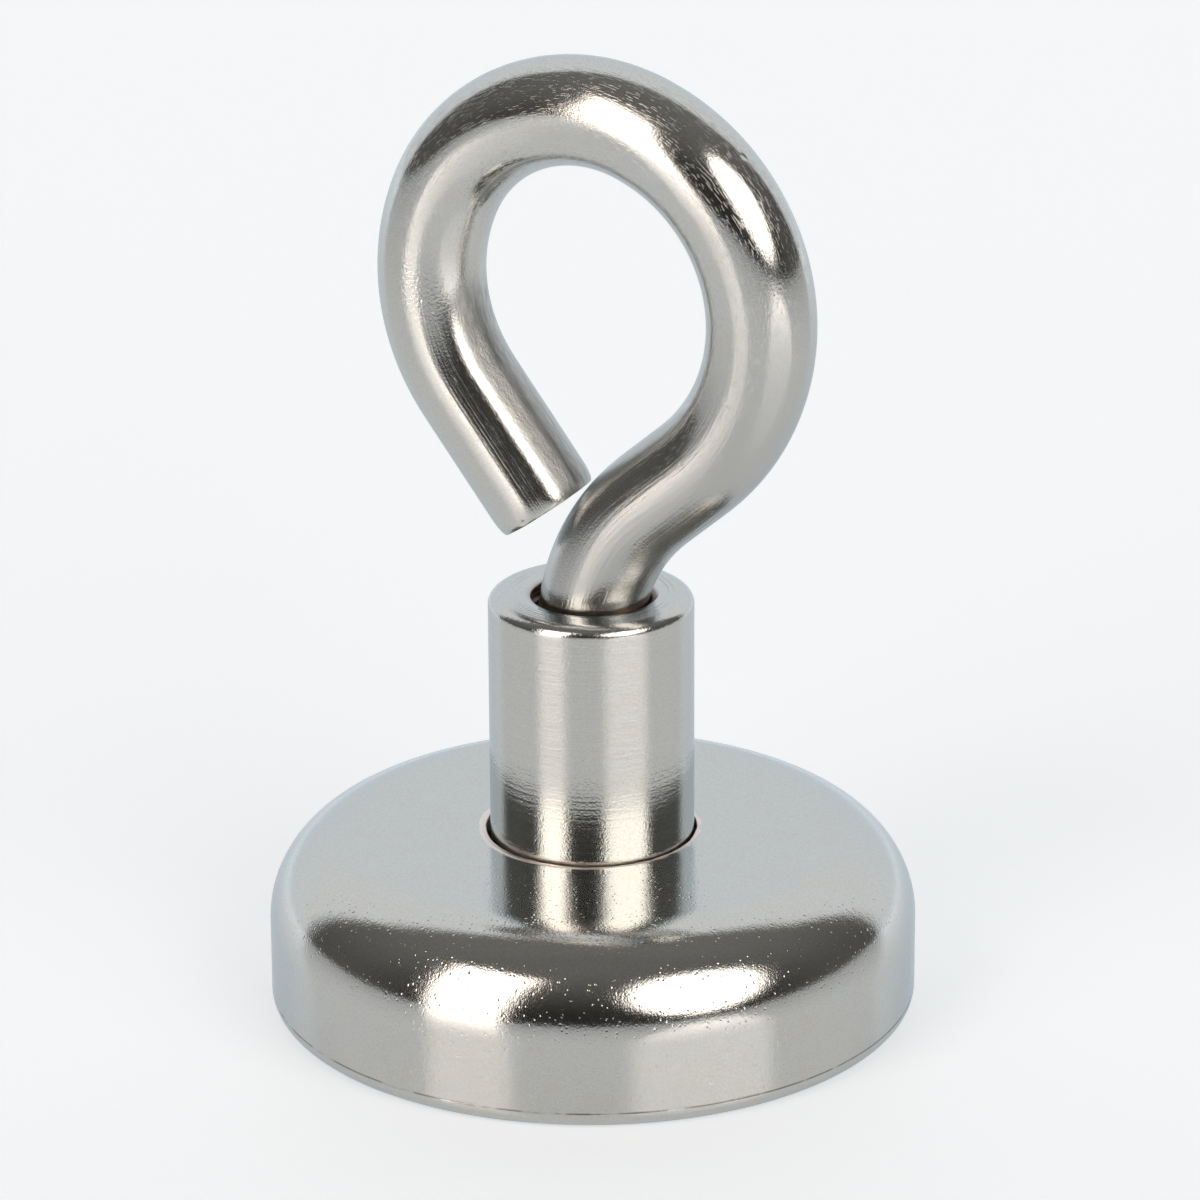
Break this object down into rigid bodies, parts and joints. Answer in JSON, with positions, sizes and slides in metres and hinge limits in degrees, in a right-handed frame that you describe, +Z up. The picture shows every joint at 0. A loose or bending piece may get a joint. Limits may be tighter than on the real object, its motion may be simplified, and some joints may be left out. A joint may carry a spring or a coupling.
{
  "type": "magnet fishing magnet",
  "caption": "Neodymium pot magnet with a threaded bush and a screw-in open eye bolt, thrown or lowered on a rope to pick up iron.",
  "frame": {"origin": "centre of the pulling face, on the axis of the pot", "axes": "+Z up the axis of the pot towards the eye; the eye lies in the X-Z plane, with its open end on the -X side"},
  "size_m": [0.0254, 0.0254, 0.0383],
  "materials": {
    "pot_nickel": "bright nickel plate over steel, fine orange peel",
    "bush_nickel": "bright nickel plate over fine turning marks",
    "magnet_nickel": "satin nickel plate on sintered neodymium",
    "epoxy": "cured dark epoxy",
    "eye_nickel": "bright nickel plate over drawn rod, with draw lines and small dents",
    "thread_lock": "dried thread-lock compound"
  },
  "bodies": {
    "pot": {"pot_shell": "pot_nickel", "threaded_bush": "bush_nickel", "magnet_disc": "magnet_nickel", "magnet_bond_layer": "epoxy", "potting_ring": "epoxy"},
    "thread_carrier": {"thread_lock_ring": "thread_lock"},
    "eye": {"eye_bolt": "eye_nickel"}
  },
  "joints": [
    {"name": "eye_rise", "type": "slide", "parent": "pot", "child": "thread_carrier", "axis": [0, 0, 1], "range_m": [0, 0.00801]},
    {"name": "eye_turn", "type": "hinge", "parent": "thread_carrier", "child": "eye", "pos_m": [0, 0, 0.01], "axis": [0, 0, 1], "range_deg": [0, 3600]}
  ],
  "couplings": [
    {"joint": "eye_rise", "follows": "eye_turn", "m_per_rad": 0.00012732}
  ]
}
